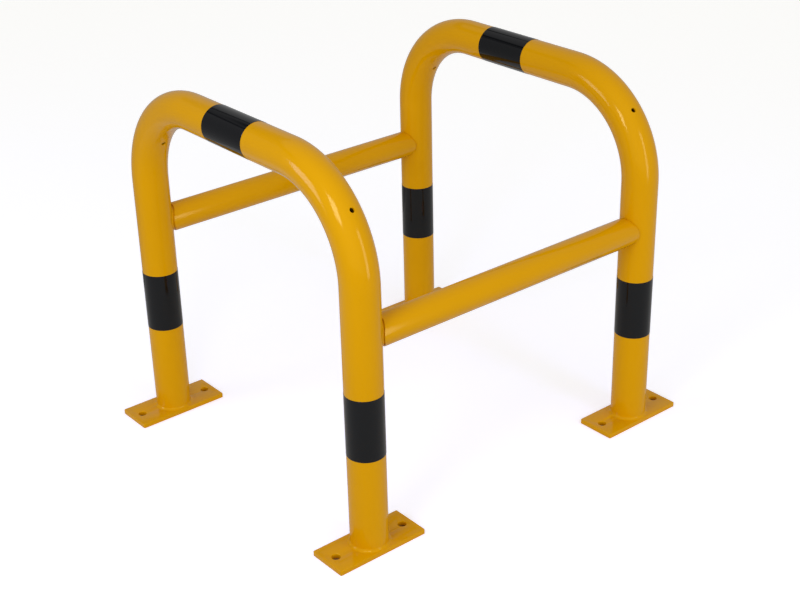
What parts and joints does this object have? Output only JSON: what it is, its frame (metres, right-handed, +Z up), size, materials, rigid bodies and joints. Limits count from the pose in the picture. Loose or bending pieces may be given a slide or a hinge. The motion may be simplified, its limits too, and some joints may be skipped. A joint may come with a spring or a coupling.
{
  "type": "column protection guard",
  "caption": "Low tubular steel guard that stands round a building column: two hoops joined by cross tubes on bolt-down floor plates, yellow with black bands.",
  "frame": {"origin": "on the floor, under the middle of the space that the guard surrounds", "axes": "+X along the cross tubes towards the right hoop, +Y across the hoops towards the rear cross tube, +Z up from the floor"},
  "size_m": [0.747, 0.636, 0.6253],
  "materials": {
    "powder_coat": "semi-gloss golden yellow powder coat on steel",
    "black_film": "glossy black self-adhesive film"
  },
  "bodies": {
    "root": {"hoop_left": "powder_coat", "hoop_right": "powder_coat", "cross_tube_front": "powder_coat", "cross_tube_rear": "powder_coat", "base_plate_front_left": "powder_coat", "base_weld_front_left": "powder_coat", "spigot_front_left": "powder_coat", "spigot_weld_front_left": "powder_coat", "leg_band_front_left": "black_film", "base_plate_rear_left": "powder_coat", "base_weld_rear_left": "powder_coat", "spigot_rear_left": "powder_coat", "spigot_weld_rear_left": "powder_coat", "leg_band_rear_left": "black_film", "base_plate_rear_right": "powder_coat", "base_weld_rear_right": "powder_coat", "spigot_rear_right": "powder_coat", "spigot_weld_rear_right": "powder_coat", "leg_band_rear_right": "black_film", "base_plate_front_right": "powder_coat", "base_weld_front_right": "powder_coat", "spigot_front_right": "powder_coat", "spigot_weld_front_right": "powder_coat", "leg_band_front_right": "black_film", "top_band_left": "black_film", "top_band_right": "black_film"}
  },
  "joints": []
}
